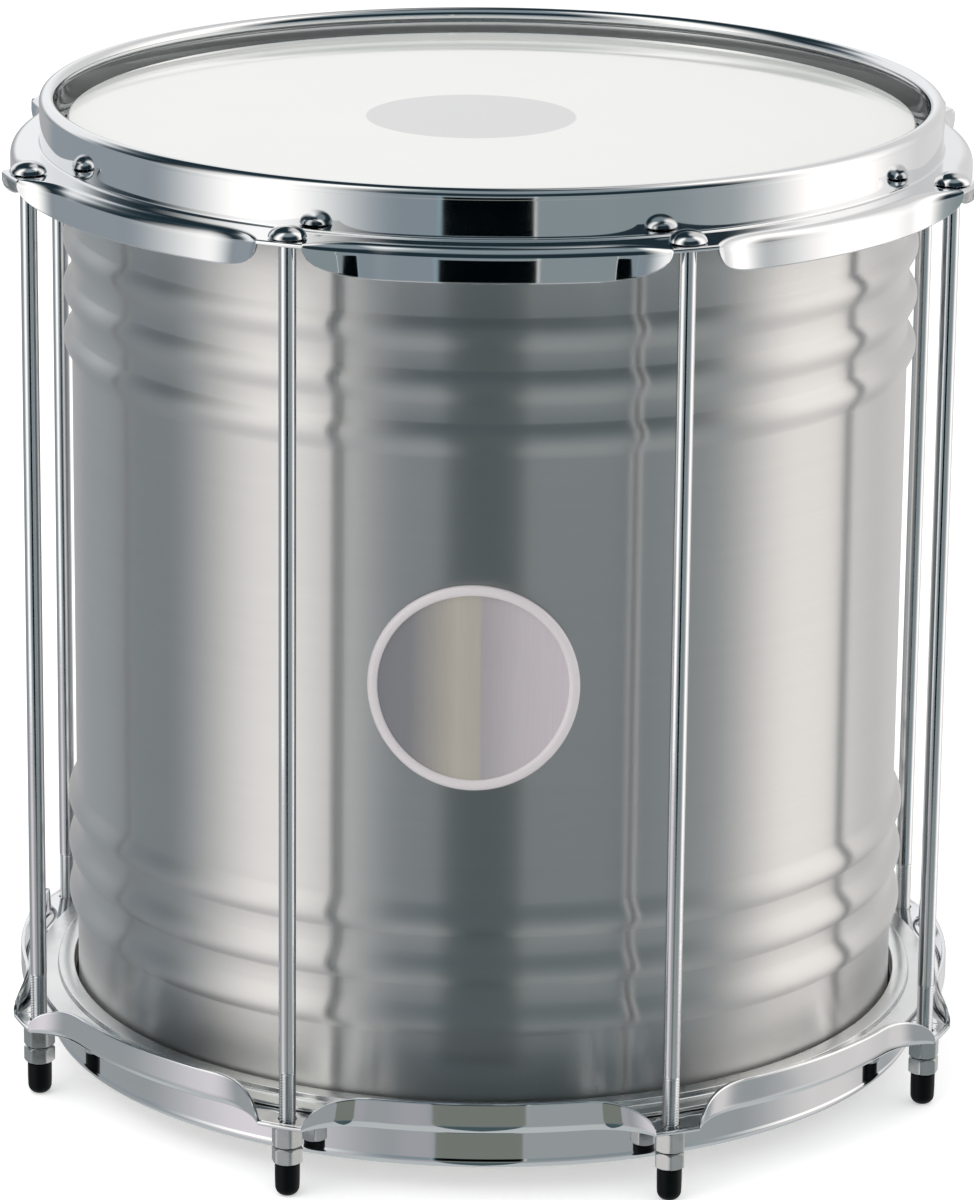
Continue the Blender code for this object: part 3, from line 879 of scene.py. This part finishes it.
def nut_mesh(name, settings, height):
    """Return a hexagon nut standing on the origin, its corners turned off and its bore countersunk."""
    flat = settings.across_flats / 2
    face = flat * 0.94
    slope = math.tan(math.radians(30))
    bore = settings.rod_radius + 0.3 * MM
    sink = 0.5 * MM
    edge = 0.12 * MM
    bm = bmesh.new()
    columns = []
    per_side = 12
    for step in range(6 * per_side):
        angle = math.pi / 3 * step / per_side
        beside = (angle % (math.pi / 3)) - math.pi / 6
        outer = min(flat / math.cos(beside), flat * 1.13)
        fall = (outer - face) * slope
        column = [
            (bore, sink),
            (bore + sink, 0.0),
            (face, 0.0),
            (outer - edge, max(fall - edge * slope, 0.0)),
            (outer, fall + edge),
            (outer, height - fall - edge),
            (outer - edge, height - max(fall - edge * slope, 0.0)),
            (face, height),
            (bore + sink, height),
            (bore, height - sink),
        ]
        turned = angle + math.pi / 6
        columns.append([bm.verts.new((r * math.cos(turned), r * math.sin(turned), z)) for r, z in column])
    for here, after in zip(columns, columns[1:] + columns[:1]):
        join(bm, here, after)
    return finished_mesh(name, bm, 25.0)


class DRUM_OT_nuts(DrumOperator):
    """Form the tension nuts and lock nuts"""

    bl_idname = "drum.nuts"
    bl_label = "Nuts"

    def build(self, scene):
        settings = scene.drum_hardware
        zinc = zinc_plate(settings)
        for kind, low, high in (
            ("tension_nut", TENSION_NUT_LOW.z, TENSION_NUT_HIGH.z),
            ("lock_nut", LOCK_NUT_LOW.z, LOCK_NUT_HIGH.z),
        ):
            mesh = nut_mesh(kind + "_formed", settings, high - low)
            for index in range(ROD_COUNT):
                node = kind + "_" + str(index + 1)
                clear_piece(node + "_formed")
                piece = add_object(node + "_formed", mesh)
                if not mesh.materials:
                    mesh.materials.append(zinc)
                spin = Matrix.Rotation(rod_angle(index) + NUT_TURN, 4, "Z")
                piece.matrix_world = Matrix.Translation(on_circle(ROD_CIRCLE, rod_angle(index), low)) @ spin
                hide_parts(node)
                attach(piece, node)


class DRUM_OT_caps(DrumOperator):
    """Mould the rubber end caps"""

    bl_idname = "drum.caps"
    bl_label = "End caps"

    def build(self, scene):
        settings = scene.drum_hardware
        rubber = moulded_rubber(settings)
        top = CAP_HIGH.z
        radius = settings.cap_radius
        bore = settings.rod_radius + 0.15 * MM
        tip = 3.3 * MM
        points = [(bore, top - 0.2 * MM), (bore + 0.2 * MM, top)]
        points += [(radius - 0.35 * MM, top), (radius, top - 0.35 * MM)]
        points += [(radius, top * 0.6), (radius - 0.05 * MM, top * 0.4)]
        points += arc((radius - 0.1 * MM - tip, tip), tip, 0, -90, 9)
        points += [(0.0, 0.0), (0.0, top - settings.cap_bore), (bore, top - settings.cap_bore)]
        mesh = lathe("cap_moulded", points, CAP_STEPS)
        add_at_rods("cap_", "_moulded", mesh, rubber, "cap", "end_cap_")


class DRUM_OT_badge(DrumOperator):
    """Stamp the round badge and curve it to the shell"""

    bl_idname = "drum.badge"
    bl_label = "Badge"

    def build(self, scene):
        settings = scene.drum_badge
        land = settings.radius - settings.rim_width
        rim = settings.rim_width / 2
        points = [(land * i / 12, settings.plate) for i in range(12)]
        points += [(land - 0.2 * MM, settings.plate), (land, settings.plate + 0.15 * MM)]
        lift = settings.rim_height - settings.plate
        for i in range(1, 12):
            t = math.pi * i / 12
            height = settings.plate + 0.1 * MM + (lift - 0.1 * MM) * math.sin(t)
            points.append((land + rim * (1 - math.cos(t)), height))
        points += [(settings.radius, settings.plate * 0.6), (settings.radius, 0.15 * MM)]
        points += [(settings.radius - 0.15 * MM, 0.0)]
        points += [(land * i / 6, 0.0) for i in range(5, -1, -1)]
        mesh = lathe("badge_stamped", points, BADGE_STEPS, closed=False)
        back = scene.drum_shell.radius + 0.3 * MM
        middle = (BADGE_LOW.z + BADGE_HIGH.z) / 2
        mesh.materials.append(stamped_plate(settings))
        mesh.materials.append(blasted_rim(settings))
        for face in mesh.polygons:
            centre = face.center
            face.material_index = 1 if math.hypot(centre.x, centre.y) > land else 0
        for vertex in mesh.vertices:
            along, up, out = vertex.co
            vertex.co = on_circle(back + out, along / back + settings.turned, middle + up)
        add_piece("badge_stamped", mesh, None, DRUM, "badge", "badge")


# Studio

# What the metal sees round the drum: azimuth of the middle and half width in degrees from the camera,
# softness of the sides, lowest and highest elevation and their softness, sRGB colour and strength
PANELS = (
    ("right_screen", 36, 34, 12, -90, 90, 2, "#8D989B", 1.0),
    ("right_lift", 66, 12, 12, -90, 90, 2, "#A6ADAF", 1.0),
    ("left_shade", -118, 16, 14, -90, 90, 2, "#5E696F", 1.0),
    ("left_low", -122, 34, 14, -34, 10, 6, "#979FA5", 1.0),
    ("back_floor", 180, 30, 5, -90, 3, 4, "#B0B0B2", 1.0),
    ("ceiling", 0, 112, 14, 10, 90, 3, "#22323A", 1.0),
    ("backdrop", 180, 58, 12, 3, 34, 6, "#FFFFFF", 1.0),
    ("zenith", 0, 200, 1, 38, 90, 6, "#22323A", 1.0),
    ("high_glow", 0, 90, 30, 46, 84, 8, "#8E9BA1", 1.0),
    ("left_wash", -59, 19, 19, -90, 74, 10, "#FAF7F3", 1.5),
    ("right_far", 146, 26, 12, -90, 70, 10, "#E4E2E1", 1.0),
    ("right_softbox", 99, 23, 16, -90, 70, 10, "#FFFAF6", 1.4),
    ("pale_table", 0, 150, 20, -90, -20.6, 0.6, "#A0A4A6", 1.0),
    ("table_patch", -16, 5, 4, -90, -20.6, 0.6, "#ABABAF", 1.0),
    ("left_table", -61, 20, 20, -90, -20.6, 0.6, "#EDE6EA", 1.0),
    ("right_table", 104, 20, 14, -90, -20.6, 0.6, "#E2DEDC", 1.0),
    ("near_table", 0, 200, 1, -90, -42, 6, "#C3C7C8", 1.0),
    ("left_edge", -12.3, 0.5, 0.2, -20.6, 9, 2, "#8FA3AC", 1.0),
    ("right_edge", 11.3, 0.4, 0.2, -20.6, 9, 2, "#D5D3D0", 1.0),
    ("table_front", -0.3, 11.3, 0.3, -34, -20.6, 0.3, "#7D827A", 1.0),
    ("drum_shade", -0.3, 11.3, 0.3, -90, -34, 6, "#4A5C60", 1.0),
    ("camera_opening", -0.3, 11.3, 0.3, -20.6, -8, 0.3, "#020608", 1.0),
)

# What the metal sees where no panel lies
ROOM_GREY = "#8A959C"

# Lower than any angle in radians, for a panel that has no lower edge
NO_EDGE = -10.0


def band(tree, value, low, high, soft):
    """Return 1 where a value lies between two sizes, with a soft step at each side."""
    steps = []
    for edge, before, after in ((low, 0.0, 1.0), (high, 1.0, 0.0)):
        inputs = {"Value": value, "From Min": edge - soft, "From Max": edge + soft}
        inputs.update({"To Min": before, "To Max": after})
        step = add_node(tree, "ShaderNodeMapRange", inputs, interpolation_type="SMOOTHSTEP")
        steps.append(step.outputs["Result"])
    return add_node(tree, "ShaderNodeMath", {0: steps[0], 1: steps[1]}, operation="MULTIPLY").outputs[0]


def studio_world(scene, settings):
    """Make the world: white to the camera, soft panels to the drum's metal, an even light to the rest."""
    world = bpy.data.worlds.new("studio")
    world.use_nodes = True
    tree = world.node_tree
    tree.nodes.clear()
    view = add_node(tree, "ShaderNodeTexCoord").outputs["Generated"]
    parts = add_node(tree, "ShaderNodeSeparateXYZ", {0: view})
    inputs = {0: parts.outputs["Y"], 1: -1.0}
    forward = add_node(tree, "ShaderNodeMath", inputs, operation="MULTIPLY").outputs[0]
    inputs = {0: parts.outputs["X"], 1: forward}
    azimuth = add_node(tree, "ShaderNodeMath", inputs, operation="ARCTAN2").outputs[0]
    height = add_node(tree, "ShaderNodeMath", {0: parts.outputs["Z"]}, operation="ARCSINE").outputs[0]
    seen = add_node(tree, "ShaderNodeRGB").outputs[0]
    seen.default_value = (*linear(ROOM_GREY), 1.0)
    for name, middle, half, soft, low, high, rise, hex_colour, strength in PANELS:
        inputs = {0: azimuth, 1: math.radians(middle)}
        turned = add_node(tree, "ShaderNodeMath", inputs, operation="SUBTRACT").outputs[0]
        inputs = {0: turned, 1: -math.pi, 2: math.pi}
        around = add_node(tree, "ShaderNodeMath", inputs, operation="WRAP").outputs[0]
        away = add_node(tree, "ShaderNodeMath", {0: around}, operation="ABSOLUTE").outputs[0]
        side = band(tree, away, NO_EDGE, math.radians(half), math.radians(soft))
        bottom = NO_EDGE if low <= -90 else math.radians(low)
        level = band(tree, height, bottom, math.radians(high), math.radians(rise))
        mask = add_node(tree, "ShaderNodeMath", {0: side, 1: level}, operation="MULTIPLY").outputs[0]
        panel = (*(c * strength for c in linear(hex_colour)), 1.0)
        mixed = add_node(tree, "ShaderNodeMix", {0: mask, 6: seen, 7: panel}, data_type="RGBA", label=name)
        seen = mixed.outputs[2]
    path = add_node(tree, "ShaderNodeLightPath")
    inputs = {0: path.outputs["Is Glossy Ray"], 1: path.outputs["Is Transmission Ray"]}
    mirror = add_node(tree, "ShaderNodeMath", inputs, operation="MAXIMUM").outputs[0]
    even = (settings.light, settings.light, settings.light, 1.0)
    lit = add_node(tree, "ShaderNodeMix", {0: mirror, 6: even, 7: seen}, data_type="RGBA").outputs[2]
    inputs = {0: path.outputs["Is Camera Ray"], 6: lit, 7: (1.0, 1.0, 1.0, 1.0)}
    shown = add_node(tree, "ShaderNodeMix", inputs, data_type="RGBA").outputs[2]
    background = add_node(tree, "ShaderNodeBackground", {"Color": shown, "Strength": 1.0})
    add_node(tree, "ShaderNodeOutputWorld", {"Surface": background.outputs[0]})
    world.cycles.sampling_method = "NONE"
    scene.world = world


def pale_floor(settings):
    """Make the floor: matt pale paper that keeps the drum's shadow."""
    material, tree, shader = surface("paper_sweep_matt", 0.0, 0.9, settings.floor)
    fibre = noise(tree, 1.2 * MM, 2.0)
    vary(tree, shader, fibre, shades=(settings.floor, 0.985, 1.0))
    shader.inputs["Specular IOR Level"].default_value = 0.0
    # the camera sees the paper a little lighter than it is lit, as the photograph's white ground is
    shader.inputs["Emission Color"].default_value = (1.0, 1.0, 1.0, 1.0)
    seen = add_node(tree, "ShaderNodeLightPath").outputs["Is Camera Ray"]
    inputs = {0: seen, 1: settings.floor_lift}
    lift = add_node(tree, "ShaderNodeMath", inputs, operation="MULTIPLY").outputs[0]
    tree.links.new(lift, shader.inputs["Emission Strength"])
    half = settings.floor_size / 2
    mesh = bpy.data.meshes.new("floor")
    corners = [(-half, -half, 0.0), (half, -half, 0.0), (half, half, 0.0), (-half, half, 0.0)]
    mesh.from_pydata(corners, [], [(0, 1, 2, 3)])
    mesh.materials.append(material)
    floor = add_object("floor", mesh)
    # the metal looks past the floor to the studio's panels, which stand for the photograph's room
    floor.visible_glossy = False


def add_camera(scene, settings):
    """Put the camera where the photograph was taken from."""
    data = bpy.data.cameras.new("photo_camera")
    data.sensor_width = 36.0
    data.lens = settings.lens
    data.clip_start = 0.05
    data.clip_end = 50.0
    camera = add_object("photo_camera", data)
    camera.location = settings.camera
    gaze = Vector(settings.aim) - Vector(settings.camera)
    camera.rotation_mode = "QUATERNION"
    camera.rotation_quaternion = gaze.to_track_quat("-Z", "Y") @ Quaternion((0.0, 0.0, 1.0), settings.roll)
    scene.camera = camera


def add_lamp(name, place, aim, size, watts):
    """Add a square soft lamp that points at a place."""
    data = bpy.data.lights.new(name, "AREA")
    data.size = size
    data.energy = watts
    lamp = add_object(name, data)
    lamp.location = place
    lamp.rotation_euler = (Vector(aim) - Vector(place)).to_track_quat("-Z", "Y").to_euler()
    lamp.visible_glossy = False


class DRUM_OT_studio(DrumOperator):
    """Set up the floor, the light and the camera"""

    bl_idname = "drum.studio"
    bl_label = "Studio"

    def build(self, scene):
        settings = scene.drum_studio
        clear_piece("floor", "photo_camera", "key_lamp")
        studio_world(scene, settings)
        pale_floor(settings)
        add_lamp("key_lamp", *KEY_LAMP)
        add_camera(scene, settings)
        scene.view_settings.view_transform = "Standard"


class DRUM_PT_panel(bpy.types.Panel):
    """Buttons for the drum's pieces and studio"""

    bl_idname = "DRUM_PT_panel"
    bl_label = "Repinique"
    bl_space_type = "VIEW_3D"
    bl_region_type = "UI"
    bl_category = "Drum"

    def draw(self, context):
        for operator in OPERATORS:
            self.layout.operator(operator.bl_idname)
        for name in SETTINGS:
            box = self.layout.box()
            group = getattr(context.scene, name)
            for item in group.bl_rna.properties:
                if item.identifier not in ("rna_type", "name"):
                    box.prop(group, item.identifier)


SETTINGS = {
    "drum_shell": ShellSettings,
    "drum_heads": HeadSettings,
    "drum_hoops": HoopSettings,
    "drum_hardware": HardwareSettings,
    "drum_badge": BadgeSettings,
    "drum_studio": StudioSettings,
}
OPERATORS = (
    DRUM_OT_studio,
    DRUM_OT_shell,
    DRUM_OT_heads,
    DRUM_OT_flesh_hoops,
    DRUM_OT_hoops,
    DRUM_OT_rods,
    DRUM_OT_nuts,
    DRUM_OT_caps,
    DRUM_OT_badge,
)


def register():
    """Register the settings, the buttons and the panel."""
    for name, group in SETTINGS.items():
        bpy.utils.register_class(group)
        setattr(bpy.types.Scene, name, bpy.props.PointerProperty(type=group))
    for operator in OPERATORS:
        bpy.utils.register_class(operator)
    bpy.utils.register_class(DRUM_PT_panel)


def unregister():
    """Take the settings, the buttons and the panel away."""
    bpy.utils.unregister_class(DRUM_PT_panel)
    for operator in reversed(OPERATORS):
        bpy.utils.unregister_class(operator)
    for name, group in SETTINGS.items():
        delattr(bpy.types.Scene, name)
        bpy.utils.unregister_class(group)


def main():
    """Build the whole drum."""
    register()
    for operator in OPERATORS:
        group, name = operator.bl_idname.split(".")
        getattr(getattr(bpy.ops, group), name)()


if __name__ == "__main__":
    main()
